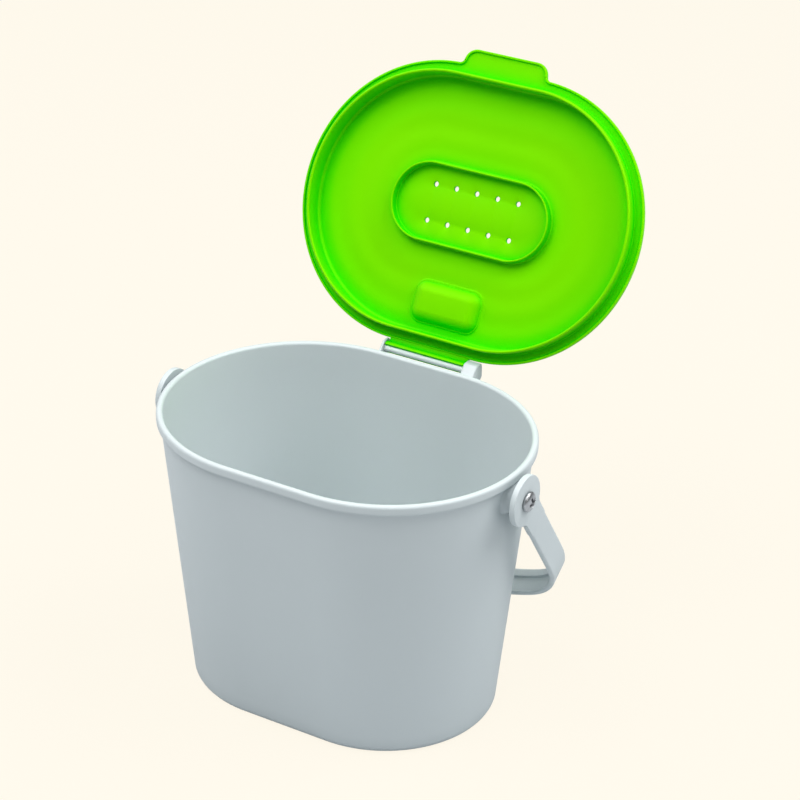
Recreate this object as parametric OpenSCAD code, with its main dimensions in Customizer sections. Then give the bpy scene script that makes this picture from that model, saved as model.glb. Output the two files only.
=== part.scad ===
/* [Bucket] */
// Overall length of the rim, side to side
body_len = 226; // [190:1:280]
// Overall depth of the rim, front to back
body_depth = 170; // [140:1:210]
// Height of the rim above the table
body_h = 174; // [140:1:220]
// Depth of the base, front to back
base_depth = 132; // [110:1:138]
// Wall thickness
wall = 2.2; // [1.8:0.1:3.5]
// How far the rim bead stands out from the wall
rim_over = 1.8; // [1:0.1:3]
// Height of the rim bead
rim_h = 5; // [3.5:0.5:9]
// Radius of the lower outside edge
base_edge = 4; // [2:0.5:7]
// Thickness of the floor
floor_t = 2.6; // [2:0.1:5]

/* [Lid] */
// How far the lid is open, in degrees from shut
lid_open = 118; // [60:1:118]
// Gap between the shut lid and the rim
lid_seat = 0.5; // [0.4:0.1:1.5]
// Thickness of the lid's edge, lip included
flange_t = 2.7; // [2.4:0.1:4]
// Rise of the lid's top panel above the lower face of its edge
lid_rise = 8.2; // [6:0.1:14]
// Thickness of the lid's panel
lid_plate = 2; // [1.5:0.1:3]
// Distance from the lid's outline to the plug ring
ring_inset = 6.2; // [5.2:0.1:9]
// Depth of the plug ring below the lid's edge
ring_drop = 6.5; // [3:0.5:12]
// Width of the finger tab
tab_w = 56; // [30:1:80]
// How far the finger tab stands out
tab_out = 9.5; // [9:0.5:18]

/* [Vents] */
// Vent holes in each row
vent_count = 5; // [2:1:6]
// Distance between holes in a row
vent_pitch = 14; // [10:0.5:15]
// Distance between the two rows
vent_rows = 22.3; // [14:0.1:26]
// Diameter of a vent hole
vent_d = 3.2; // [2:0.1:5]
// Length of the filter frame
filter_len = 105.5; // [90:0.5:130]
// Width of the filter frame
filter_wid = 48.3; // [42:0.5:60]
// Height of the filter frame
filter_h = 5.8; // [3:0.1:8]

/* [Hinge] */
// Distance from the rim's back to the hinge pin's axis
hinge_back = 6.2; // [6:0.1:8]
// Depth of the hinge pin's axis below the rim
hinge_drop = 1; // [0.8:0.1:1.4]
// Diameter of the hinge pin
hinge_pin_d = 4.4; // [3.6:0.1:4.6]
// Overall width of the hinge
hinge_w = 65; // [46:0.2:72]
// How far the hinge's middle lies to the right of the bucket's
hinge_side = 2.4; // [-4:0.1:4]
// Thickness of the thin ear
ear_thin = 1.4; // [1.2:0.1:4]
// Thickness of the thick ear
ear_thick = 9; // [5:0.1:10]

/* [Bail] */
// Overall width of the bail handle
bail_w = 240; // [204:1:294]
// Width of the strap
strap_w = 17; // [12:0.5:22]
// Thickness of the strap
strap_t = 3.4; // [2.6:0.1:3.8]
// Radius of the round eye at each end
eye_r = 15; // [12:0.5:18]
// Straight length of an arm, from the pivot to the bend
arm_len = 69; // [56:0.5:100]
// Outside radius of the bend
bend_r = 62; // [30:1:66]
// Slope of the grip where the bend ends
grip_slope = 34; // [12:1:36]
// Angle at which the bail hangs against the back
bail_rest = 35; // [35:0.5:48]
// Distance from the middle of the bucket to the pivot, towards the front
pivot_front = 4; // [0:0.5:8]
// Depth of the pivot below the rim
pivot_drop = 15; // [14:0.5:24]
// Diameter of the pivot screw's head
screw_head_d = 11.8; // [10:0.1:14]

/* [Hidden] */
$fn = 96;
half = (body_len - body_depth) / 2;
rim_r = body_depth / 2;
top_r = rim_r - rim_over;
base_r = base_depth / 2;
draft = (top_r - base_r) / body_h;
cavity_edge = 5;
rim_round = 1.3;

flange_z = body_h + lid_seat;
flange_skin = 1.5;
edge_lip = 1.4;
plate_in = flange_z + lid_rise - lid_plate;
plate_out = flange_z + lid_rise;
ring_r = rim_r - ring_inset;
ring_wall = 1.8;
shoulder = 2;
filter_wall = 1.2;
filter_z = plate_in - filter_h;
tab_round = 8;
pocket_len = 46;
pocket_wid = 26;
pocket_drop = 5.5;
pocket_y = 58.5;
pocket_round = 8;
pocket_wall = 1.8;

hinge_y = rim_r + hinge_back;
hinge_z = body_h - hinge_drop;
hinge_pin_r = hinge_pin_d / 2;
hinge_fit = 0.05;
press_fit = 0.02;
ear_r = 5;
ear_round = 2.5;
ear_root = 4;
ear_gap = 0.4;
hook_r = hinge_drop + lid_seat + flange_t;
shelf_gap = 1.8;
shelf_t = 2.4;
gusset = 12;
left_x = hinge_side - hinge_w / 2;
right_x = hinge_side + hinge_w / 2;
hook_left = left_x + ear_thin + ear_gap;
hook_right = right_x - ear_thick - ear_gap;
jaw_low = -120.5;
jaw_high = 50;

pivot_y = -pivot_front;
pivot_z = body_h - pivot_drop;
eye_out = bail_w / 2;
eye_in = eye_out - strap_t;
side_gap = 0.4;
eye_fit = 0.05;
boss_r = 9;
spigot_r = 4.5;
spigot_out = eye_out + side_gap;
head_r = screw_head_d / 2;
head_h = 3.2;
head_edge = 0.8;
screw_r = 2;
screw_fit = 0.02;
screw_len = 8.5;
bend_x = eye_out - bend_r;
grip_x = bend_x + bend_r * sin(grip_slope);
grip_r = grip_x / sin(grip_slope);
grip_y = -arm_len - bend_r * cos(grip_slope) + grip_r * cos(grip_slope);
grip_skin = 1.8;
rim_back = strap_w * 0.31;
rim_front = strap_w * 0.11;
channel_start = 14;
grip_swell = 0.15;
grip_lap = 0.5;
bend_web = 1.5;
grip_web = 0.3;

function wall_r(z) = base_r + draft * z;

// Where the hinge's ears and web end inside the wall, before the cavity trims them
function root_r(z) = wall_r(z) - ear_root;

function arc(cx, cy, r, from, to, steps) =
    [for (i = [0:steps]) [cx + r * cos(from + (to - from) * i / steps),
                          cy + r * sin(from + (to - from) * i / steps)]];

// Sweeps a half profile round an oblong: straight sides joined by half circles
module oblong(c) {
    for (s = [-1, 1])
        translate([s * c, 0, 0])
            rotate([0, 0, -90 * s])
                rotate_extrude(angle = 180)
                    children();
    for (m = [0, 1])
        mirror([0, m, 0])
            translate([-c, 0, 0])
                rotate([90, 0, 90])
                    linear_extrude(2 * c)
                        children();
}

// Lays a front-to-back profile along the hinge, between two places
module across(from, to) {
    translate([from, 0, 0])
        rotate([90, 0, 90])
            linear_extrude(to - from)
                children();
}

module bucket_outside() {
    polygon(concat(
        [[0, 0]],
        arc(base_r - base_edge + draft * base_edge, base_edge, base_edge, -90, 0, 5),
        [[wall_r(body_h - rim_h - rim_over), body_h - rim_h - rim_over]],
        [[rim_r, body_h - rim_h]],
        arc(rim_r - rim_round, body_h - rim_round, rim_round, 0, 90, 4),
        [[0, body_h]]));
}

module bucket_inside() {
    floor_r = wall_r(floor_t) - wall;
    mouth_r = top_r - wall;
    polygon(concat(
        [[0, floor_t]],
        arc(floor_r - cavity_edge + draft * cavity_edge, floor_t + cavity_edge, cavity_edge, -90, 0, 5),
        [[mouth_r - draft * rim_round, body_h - rim_round]],
        arc(mouth_r + rim_round, body_h - rim_round, rim_round, 180, 90, 4),
        [[mouth_r + rim_round, body_h + 5], [0, body_h + 5]]));
}

// The side of an ear: it slopes up from the rim, then has a flat top and an upright back
module ear_shape() {
    foot = hinge_z - ear_r - gusset;
    polygon(concat(
        [[root_r(body_h), body_h - rim_round]],
        [[rim_r + ear_gap, body_h - ear_gap]],
        [[hinge_y - ear_r / 3, hinge_z + ear_r]],
        arc(hinge_y + ear_r - ear_round, hinge_z + ear_r - ear_round, ear_round, 90, 0, 4),
        [[hinge_y + ear_r, hinge_z - ear_r * 0.85]],
        [[root_r(foot), foot]]));
}

module shelf_shape() {
    top = hinge_z - hook_r - shelf_gap;
    foot = top - shelf_t - gusset * 0.7;
    polygon([
        [root_r(top), top],
        [hinge_y + 1, top],
        [hinge_y + 1, top - shelf_t],
        [root_r(foot), foot]]);
}

module pivot_boss() {
    translate([0, pivot_y, pivot_z])
        rotate([0, 90, 0]) {
            cylinder(r = boss_r, h = eye_in - side_gap);
            cylinder(r = spigot_r, h = spigot_out);
        }
}

module both_sides() {
    children();
    mirror([1, 0, 0])
        children();
}

module bucket() {
    color([0.69, 0.72, 0.73])
        difference() {
            union() {
                oblong(half)
                    bucket_outside();
                across(left_x, left_x + ear_thin)
                    ear_shape();
                across(right_x - ear_thick, right_x)
                    ear_shape();
                across(left_x + ear_thin, right_x - ear_thick)
                    shelf_shape();
                both_sides()
                    pivot_boss();
            }
            oblong(half)
                bucket_inside();
            translate([left_x - 1, hinge_y, hinge_z])
                rotate([0, 90, 0])
                    cylinder(r = hinge_pin_r + press_fit, h = hinge_w - ear_thick * 0.2 + 1);
            both_sides()
                translate([spigot_out - screw_len - 0.5, pivot_y, pivot_z])
                    rotate([0, 90, 0])
                        cylinder(r = screw_r + screw_fit, h = screw_len + 2);
        }
}

module hinge_pin() {
    color([0.69, 0.72, 0.73])
        translate([left_x, hinge_y, hinge_z])
            rotate([0, 90, 0])
                cylinder(r = hinge_pin_r, h = hinge_w - ear_thick * 0.2 - 0.4);
}

module lid_section() {
    polygon(concat(
        [[0, plate_in], [ring_r - ring_wall, plate_in]],
        arc(ring_r - ring_wall / 2, flange_z - ring_drop + ring_wall / 2, ring_wall / 2, 180, 360, 6),
        [[ring_r, flange_z + flange_t - flange_skin]],
        [[rim_r - edge_lip, flange_z + flange_t - flange_skin]],
        [[rim_r - edge_lip, flange_z], [rim_r, flange_z]],
        arc(rim_r - 0.8, flange_z + flange_t - 0.8, 0.8, 0, 90, 3),
        [[ring_r, flange_z + flange_t]],
        arc(ring_r - shoulder, plate_out - shoulder, shoulder, 0, 90, 4),
        [[0, plate_out]]));
}

module tab_shape(inset) {
    w = tab_w - 2 * inset;
    r = tab_round - inset;
    out = rim_r + tab_out - inset;
    translate([-w / 2, -(out - r)])
        square([w, out - r - ring_r - 1]);
    translate([-w / 2 + r, -out])
        square([w - 2 * r, r + 1]);
    for (s = [-1, 1])
        translate([s * (w / 2 - r), -(out - r)])
            circle(r);
}

module filter_frame() {
    r = filter_wid / 2;
    oblong(filter_len / 2 - r)
        polygon([[r - filter_wall, filter_z], [r, filter_z], [r, plate_in + 0.5], [r - filter_wall, plate_in + 0.5]]);
}

module pillow(inset) {
    r = pocket_round - inset;
    hull()
        for (sx = [-1, 1])
            for (sy = [-1, 1])
                translate([sx * (pocket_len / 2 - pocket_round),
                           pocket_y + sy * (pocket_wid / 2 - pocket_round),
                           plate_in - pocket_drop + pocket_round])
                    sphere(r, $fn = 32);
}

// The lid's clip, shut: a leaf that goes round the pin's front half and leaves its back open
module hook_shape() {
    difference() {
        union() {
            translate([hinge_y, hinge_z])
                circle(hook_r);
            translate([rim_r - 1, flange_z])
                square([hinge_back + 1, flange_t]);
        }
        translate([hinge_y, hinge_z])
            circle(hinge_pin_r + hinge_fit);
        translate([hinge_y, hinge_z])
            polygon(concat([[0, 0]], arc(0, 0, 3 * hook_r, jaw_low, jaw_high, 6)));
    }
}

module lid_shut() {
    difference() {
        union() {
            oblong(half)
                lid_section();
            translate([0, 0, flange_z])
                linear_extrude(flange_t)
                    tab_shape(0);
            filter_frame();
            intersection() {
                pillow(0);
                translate([-body_len / 2, 0, plate_in - pocket_drop - 1])
                    cube([body_len, rim_r, pocket_drop + 1 + lid_plate / 2]);
            }
            across(hook_left, hook_right)
                hook_shape();
        }
        translate([0, 0, flange_z - 1])
            linear_extrude(1 + flange_t - flange_skin)
                tab_shape(edge_lip);
        pillow(pocket_wall);
        for (i = [0:vent_count - 1])
            for (s = [-1, 1])
                translate([(i - (vent_count - 1) / 2) * vent_pitch, s * vent_rows / 2, plate_in - 1])
                    cylinder(d = vent_d, h = lid_plate + 2);
    }
}

module lid() {
    color([0.42, 0.9, 0.02])
        translate([0, hinge_y, hinge_z])
            rotate([-lid_open, 0, 0])
                translate([0, -hinge_y, -hinge_z])
                    lid_shut();
}

// The strap's section at a given outside radius, thicker all round by a swell
module strap_section(r, swell) {
    w = strap_w + 2 * swell;
    translate([r - strap_t - swell, -w / 2])
        square([strap_t + 2 * swell, w]);
}

// The section of the channel along the grip's inner side
module channel_section(r, swell) {
    translate([r - strap_t - 2, -strap_w / 2 + rim_back])
        square([strap_t + 2 - grip_skin - swell, strap_w - rim_back - rim_front]);
}

module bend(start, stop) {
    translate([bend_x, -arm_len, 0])
        mirror([0, 1, 0])
            rotate([0, 0, start])
                rotate_extrude(angle = stop - start)
                    children();
}

module grip(reach) {
    translate([0, grip_y, 0])
        rotate([0, 0, -90 - reach])
            rotate_extrude(angle = 2 * reach, $fn = 180)
                children();
}

module bail_half() {
    translate([eye_in, -arm_len, -strap_w / 2])
        cube([strap_t, arm_len, strap_w]);
    translate([eye_in, 0, 0])
        rotate([0, 90, 0])
            cylinder(r = eye_r, h = strap_t);
    bend(0, 90 - grip_slope)
        strap_section(bend_r, 0);
}

module bail_handle() {
    color([0.69, 0.72, 0.73])
        translate([0, pivot_y, pivot_z])
            rotate([bail_rest + 90, 0, 0])
                difference() {
                    union() {
                        both_sides()
                            bail_half();
                        grip(grip_slope + grip_lap)
                            strap_section(grip_r, grip_swell);
                    }
                    both_sides()
                        bend(channel_start, 90 - grip_slope - bend_web)
                            channel_section(bend_r, 0);
                    grip(grip_slope - grip_web)
                        channel_section(grip_r, grip_swell);
                    translate([-eye_out - 1, 0, 0])
                        rotate([0, 90, 0])
                            cylinder(r = spigot_r + eye_fit, h = 2 * eye_out + 2);
                }
}

module screw() {
    translate([spigot_out - screw_len, pivot_y, pivot_z])
        rotate([0, 90, 0])
            cylinder(r = screw_r, h = screw_len + 1);
    translate([spigot_out, pivot_y, pivot_z])
        rotate([0, 90, 0])
            difference() {
                rotate_extrude()
                    polygon(concat(
                        [[0, 0], [head_r, 0], [head_r, head_edge]],
                        [for (i = [1:6]) [head_r * cos(15 * i), head_edge + (head_h - head_edge) * sin(15 * i)]]));
                for (a = [0, 90])
                    rotate([0, 0, a])
                        translate([-2.6, -0.6, head_h - 1.6])
                            cube([5.2, 1.2, 3]);
            }
}

module pivot_screws() {
    color([0.75, 0.76, 0.78])
        both_sides()
            screw();
}

bucket();
hinge_pin();
lid();
bail_handle();
pivot_screws();
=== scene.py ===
"""Looks for a compost caddy with a hinged lid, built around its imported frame."""

import logging
import math
from dataclasses import dataclass, field
from enum import Enum
from typing import Callable

import bmesh
import bpy
from mathutils import Matrix, Vector


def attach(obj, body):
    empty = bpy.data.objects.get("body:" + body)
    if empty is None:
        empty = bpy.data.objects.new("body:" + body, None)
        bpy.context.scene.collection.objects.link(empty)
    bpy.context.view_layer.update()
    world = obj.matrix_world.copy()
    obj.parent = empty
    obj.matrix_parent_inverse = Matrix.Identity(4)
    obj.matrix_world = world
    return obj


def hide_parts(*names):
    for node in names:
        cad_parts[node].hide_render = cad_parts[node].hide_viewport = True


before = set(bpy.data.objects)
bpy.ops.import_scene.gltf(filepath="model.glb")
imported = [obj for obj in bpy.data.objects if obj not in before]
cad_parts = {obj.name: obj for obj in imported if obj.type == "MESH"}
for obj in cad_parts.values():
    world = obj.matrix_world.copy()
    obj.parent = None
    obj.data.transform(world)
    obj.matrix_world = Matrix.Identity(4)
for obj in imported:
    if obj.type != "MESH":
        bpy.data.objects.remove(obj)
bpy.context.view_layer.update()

MM = 0.001
SHARP_DEGREES = 40.0

log = logging.getLogger("caddy")

Point = tuple[float, float, float]
Colour = tuple[float, float, float]
Pair = tuple[float, float]
Profile = list[Pair]
Loop = list[Vector]
Mesh = bmesh.types.BMesh
Edge = bmesh.types.BMEdge
Vert = bmesh.types.BMVert
Face = bmesh.types.BMFace
Socket = bpy.types.NodeSocket
Material = bpy.types.Material


class Body(Enum):
    """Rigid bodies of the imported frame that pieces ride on."""

    BUCKET = "bucket_body"
    LID = "lid_body"
    BAIL = "bail_body"


class Node(Enum):
    """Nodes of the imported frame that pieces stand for."""

    BUCKET = "bucket"
    HINGE_PIN = "hinge_pin"
    LID = "lid"
    BAIL = "bail_handle"
    SCREWS = "pivot_screws"


class Slot(Enum):
    """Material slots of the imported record."""

    BUCKET = "bucket_plastic"
    LID = "lid_plastic"
    SCREW = "screw_steel"


# Finishes


def fill(node: bpy.types.Node, **inputs: object) -> bpy.types.Node:
    """Sets or links a node's inputs, named with underscores for spaces.

    Args:
        node: The node.
        inputs: A value or a socket for each input.

    Returns:
        The node.
    """
    for name, value in inputs.items():
        socket = node.inputs[name.replace("_", " ")]
        if isinstance(value, Socket):
            node.id_data.links.new(value, socket)
        else:
            socket.default_value = value
    return node


class Recipe:
    """A material's node tree, put together step by step."""

    def __init__(self, name: str) -> None:
        """Starts an empty tree with one shader.

        Args:
            name: The material's name.
        """
        self.material = bpy.data.materials.new(name)
        self.material.use_nodes = True
        self.tree = self.material.node_tree
        self.shader = self.tree.nodes["Principled BSDF"]
        self.coords = self.tree.nodes.new("ShaderNodeTexCoord")

    def noise(self, scale: float, detail: float = 3.0, stretch: Point = (1.0, 1.0, 1.0)) -> Socket:
        """Adds a noise pattern on object coordinates.

        Args:
            scale: Pattern repeats per metre.
            detail: Octaves of finer noise.
            stretch: Scale along each axis before the noise is read.

        Returns:
            The noise's value socket.
        """
        mapping = fill(self.tree.nodes.new("ShaderNodeMapping"), Scale=stretch,
                       Vector=self.coords.outputs["Object"])
        noise = fill(self.tree.nodes.new("ShaderNodeTexNoise"), Scale=scale, Detail=detail,
                     Vector=mapping.outputs["Vector"])
        return noise.outputs["Fac"]

    def span(self, value: Socket, low: float, high: float,
             start: float = 0.3, end: float = 0.7) -> Socket:
        """Maps a pattern's value onto a range.

        Args:
            value: The pattern.
            low: Result at the pattern's start.
            high: Result at the pattern's end.
            start: Pattern value that gives low.
            end: Pattern value that gives high.

        Returns:
            The mapped value's socket.
        """
        node = fill(self.tree.nodes.new("ShaderNodeMapRange"), Value=value,
                    From_Min=start, From_Max=end, To_Min=low, To_Max=high)
        return node.outputs["Result"]

    def blend(self, fac: Socket, first: "Colour | Socket",
              second: "Colour | Socket") -> Socket:
        """Blends two colours by a value.

        Args:
            fac: Share of the second colour.
            first: A colour or a colour socket.
            second: A colour or a colour socket.

        Returns:
            The blended colour's socket.
        """
        node = self.tree.nodes.new("ShaderNodeMix")
        node.data_type = "RGBA"
        self.tree.links.new(fac, node.inputs[0])
        for socket, colour in ((node.inputs[6], first), (node.inputs[7], second)):
            if isinstance(colour, tuple):
                socket.default_value = (*colour, 1.0)
            else:
                self.tree.links.new(colour, socket)
        return node.outputs[2]

    def bump(self, height: Socket, depth: float, strength: float,
             under: "Socket | None" = None) -> Socket:
        """Raises a pattern off the surface.

        Args:
            height: The pattern.
            depth: Height of the pattern in metres.
            strength: Share of the effect.
            under: Normal of a coarser bump that this one lies on.

        Returns:
            The new normal's socket.
        """
        node = fill(self.tree.nodes.new("ShaderNodeBump"), Distance=depth, Strength=strength, Height=height)
        if under is not None:
            fill(node, Normal=under)
        return node.outputs["Normal"]


@dataclass(frozen=True)
class MouldedPlastic:
    """Satin injection-moulded plastic with a fine grain, faint mottling and painted shade: a set colour blended
    in where ambient occlusion finds hollows and near walls.
    """

    name: str
    colour: Colour
    mottle: Colour
    # Painted shade: the colour blended in where ambient occlusion finds hollows, creases and near walls.
    painted_shade: Colour
    roughness: float = 0.42
    specular_tint: Colour = (1.0, 1.0, 1.0)
    specular: float = 0.5
    subsurface: float = 0.0
    grain_depth: float = 0.00003
    # Painted shade: reach of the ambient occlusion, and the occlusion at which the painted shade is full.
    painted_shade_reach: float = 0.012
    painted_shade_full: float = 0.35

    def make(self) -> Material:
        """Makes the material."""
        recipe = Recipe(self.name)
        broad = recipe.noise(9.0, 2.0)
        flow = recipe.noise(38.0, 3.0, (1.0, 1.0, 0.35))
        grain = recipe.noise(1400.0, 2.0)
        wave = recipe.noise(26.0, 1.0)
        tone = recipe.blend(recipe.span(broad, 0.0, 1.0), self.colour, self.mottle)
        # Painted shade: ambient occlusion turns the colour towards the painted shade colour in hollows and near
        # walls.
        painted_shade_ao = recipe.tree.nodes.new("ShaderNodeAmbientOcclusion")
        painted_shade_ao.samples = 8
        painted_shade_ao.inputs["Distance"].default_value = self.painted_shade_reach
        depth = recipe.span(painted_shade_ao.outputs["AO"], 1.0, 0.0, self.painted_shade_full, 0.95)
        rough = recipe.span(flow, self.roughness - 0.04, self.roughness + 0.06)
        soft = recipe.bump(wave, 0.0006, 0.06)
        fill(
            recipe.shader,
            Base_Color=recipe.blend(depth, tone, self.painted_shade),
            Roughness=rough,
            Normal=recipe.bump(grain, self.grain_depth, 0.25, soft),
            Specular_IOR_Level=self.specular,
            Specular_Tint=(*self.specular_tint, 1.0),
            Subsurface_Weight=self.subsurface,
            Subsurface_Radius=(0.002, 0.002, 0.002),
            Subsurface_Scale=1.0,
        )
        return recipe.material


@dataclass(frozen=True)
class PolishedSteel:
    """Plated screw steel with turning marks and rubbed spots."""

    name: str
    colour: Colour
    roughness: float = 0.16

    def make(self) -> Material:
        """Makes the material."""
        recipe = Recipe(self.name)
        rub = recipe.noise(420.0, 4.0)
        marks = recipe.noise(2600.0, 2.0, (0.2, 1.0, 1.0))
        dull = tuple(0.82 * part for part in self.colour)
        fill(
            recipe.shader,
            Base_Color=recipe.blend(recipe.span(rub, 0.0, 1.0), self.colour, dull),
            Metallic=1.0,
            Roughness=recipe.span(rub, self.roughness, self.roughness + 0.14),
            Normal=recipe.bump(marks, 0.00002, 0.3),
        )
        return recipe.material


# Mesh making


def arc(centre: Pair, radius: float, start: float, stop: float, steps: int) -> Profile:
    """Points along an arc of a profile.

    Args:
        centre: The arc's centre.
        radius: Its radius.
        start: First angle in degrees.
        stop: Last angle in degrees.
        steps: Number of chords.

    Returns:
        The points from the first angle to the last.
    """
    turns = [math.radians(start + (stop - start) * step / steps) for step in range(steps + 1)]
    return [(centre[0] + radius * math.cos(a), centre[1] + radius * math.sin(a)) for a in turns]


def run(start: float, stop: float, steps: int) -> list[float]:
    """Evenly spaced values from start to stop, both included."""
    return [start + (stop - start) * step / steps for step in range(steps + 1)]


def dome(radius: float, centre: float, angles: range) -> Profile:
    """Points down a dome's side, as distances from its axis and heights."""
    return [(radius * math.sin(math.radians(a)), centre - radius * math.cos(math.radians(a))) for a in angles]


def grow(bm: Mesh, edges: list[Edge], spot: Callable[[Vert], Vector]) -> list[Edge]:
    """Extrudes a loop of edges and moves the new one.

    Args:
        bm: The mesh.
        edges: The loop.
        spot: Gives each new vertex its place.

    Returns:
        The new loop.
    """
    made = bmesh.ops.extrude_edge_only(bm, edges=edges)["geom"]
    verts = {item for item in made if isinstance(item, Vert)}
    for vert in verts:
        vert.co = spot(vert)
    return [item for item in made if isinstance(item, Edge) and set(item.verts) <= verts]


class Skin:
    """A surface drawn loop by loop, each loop pulled out of the last one."""

    def __init__(self, first: Loop) -> None:
        """Starts from a closed loop.

        Args:
            first: Points of the first loop, in order.
        """
        self.bm = bmesh.new()
        self.place = self.bm.verts.layers.int.new("place")
        made = bmesh.ops.create_circle(self.bm, cap_ends=False, segments=len(first), radius=1.0)
        for number, vert in enumerate(made["verts"]):
            vert[self.place] = number
            vert.co = first[number]
        self.rim = list(self.bm.edges)
        self.first = list(self.bm.edges)

    def pull(self, points: Loop) -> "Skin":
        """Pulls the open loop to new points.

        Args:
            points: As many points as the loop has.

        Returns:
            This skin.
        """
        self.rim = grow(self.bm, self.rim, lambda vert: points[vert[self.place]])
        return self

    def cap(self, edges: "list[Edge] | None" = None) -> "Skin":
        """Closes a loop with one flat face, the open loop unless another is given."""
        bmesh.ops.contextual_create(self.bm, geom=edges or self.rim)
        return self

    def panel(self, edges: list[Edge]) -> None:
        """Fills a flat outline and the loops inside it with triangles."""
        bmesh.ops.triangle_fill(self.bm, edges=edges, use_beauty=True)


@dataclass(frozen=True)
class Oblong:
    """Spots round an oblong: two straight sides joined by half circles."""

    arc_steps: int
    side_steps: int

    def spots(self) -> list[Point]:
        """Each spot as its share of the half length, and its outward direction."""
        found = [(2 * i / self.side_steps - 1, 0.0, -1.0) for i in range(self.side_steps)]
        for i in range(self.arc_steps):
            turn = math.radians(-90 + 180 * i / self.arc_steps)
            found.append((1.0, math.cos(turn), math.sin(turn)))
        found += [(1 - 2 * i / self.side_steps, 0.0, 1.0) for i in range(self.side_steps)]
        for i in range(self.arc_steps):
            turn = math.radians(90 + 180 * i / self.arc_steps)
            found.append((-1.0, math.cos(turn), math.sin(turn)))
        return found

    def loop(self, half: float, radius: float, z: float) -> Loop:
        """The loop at a half length, radius and height, in millimetres."""
        return [Vector((share * half + radius * out_x, radius * out_y, z))
                for share, out_x, out_y in self.spots()]


class Lathe:
    """A turned piece: a profile spun round an axis."""

    def __init__(self, profile: Profile, steps: int) -> None:
        """Spins a profile of distances along the axis and radii, about X.

        Args:
            profile: Pairs of place along X and radius, starting and ending on the axis.
            steps: Number of chords round the axis.
        """
        self.bm = bmesh.new()
        verts = [self.bm.verts.new((along, radius, 0.0)) for along, radius in profile]
        edges = [self.bm.edges.new(pair) for pair in zip(verts, verts[1:])]
        bmesh.ops.spin(self.bm, geom=verts + edges, cent=(0, 0, 0), axis=(1, 0, 0),
                       angle=math.tau, steps=steps, use_merge=True, use_duplicate=False)
        bmesh.ops.remove_doubles(self.bm, verts=self.bm.verts, dist=0.001)


class Cutout:
    """A flat outline in the front-to-back plane, thickened along X."""

    def __init__(self, outline: Profile, start: float, stop: float) -> None:
        """Draws the outline at one place along X and extrudes it to another.

        Args:
            outline: Pairs of Y and Z, in order.
            start: Place of the first face along X.
            stop: Place of the last face along X.
        """
        self.bm = bmesh.new()
        verts = [self.bm.verts.new((start, y, z)) for y, z in outline]
        face = self.bm.faces.new(verts)
        made = bmesh.ops.extrude_face_region(self.bm, geom=[face], use_keep_orig=True)["geom"]
        moved = [item for item in made if isinstance(item, Vert)]
        bmesh.ops.translate(self.bm, vec=(stop - start, 0, 0), verts=moved)
        bmesh.ops.recalc_face_normals(self.bm, faces=self.bm.faces)

    def soften(self, size: float, least: float = 30.0, segments: int = 3) -> "Cutout":
        """Rounds every edge that turns by more than an angle.

        Args:
            size: Width of the rounding.
            least: Smallest turn in degrees that is rounded.
            segments: Faces across the rounding.

        Returns:
            This piece.
        """
        edges = [e for e in self.bm.edges if e.calc_face_angle(0.0) > math.radians(least)]
        bmesh.ops.bevel(self.bm, geom=edges, offset=size, segments=segments, profile=0.5,
                        affect="EDGES", material=-1, clamp_overlap=True)
        return self


def show(name: str, bm: Mesh) -> bpy.types.Object:
    """Turns a bmesh into an object of the scene, and frees it."""
    mesh = bpy.data.meshes.new(name)
    bm.to_mesh(mesh)
    bm.free()
    shown = bpy.data.objects.new(name, mesh)
    bpy.context.scene.collection.objects.link(shown)
    return shown


def settle(name: str, bm: Mesh, body: Body, node: Node, slot: Slot,
           material: Material, sharp: float = SHARP_DEGREES) -> bpy.types.Object:
    """Turns a finished bmesh into a piece of the scene.

    Args:
        name: The piece's name.
        bm: Its mesh, in millimetres, in the frame's place.
        body: The body it rides on.
        node: The node it stands for.
        slot: The record's material slot; not used.
        material: Its material.
        sharp: Turn in degrees past which an edge is drawn sharp.

    Returns:
        The new object.
    """
    bmesh.ops.scale(bm, vec=(MM, MM, MM), verts=bm.verts)
    bmesh.ops.recalc_face_normals(bm, faces=bm.faces)
    for face in bm.faces:
        face.smooth = True
    for edge in bm.edges:
        edge.smooth = edge.calc_face_angle(0.0) < math.radians(sharp)
    piece = show(name, bm)
    piece.data.materials.append(material)
    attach(piece, body.value)
    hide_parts(node.value)
    log.info("%s: %d faces on %s", name, len(piece.data.polygons), body.value)
    return piece


# The caddy


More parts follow.
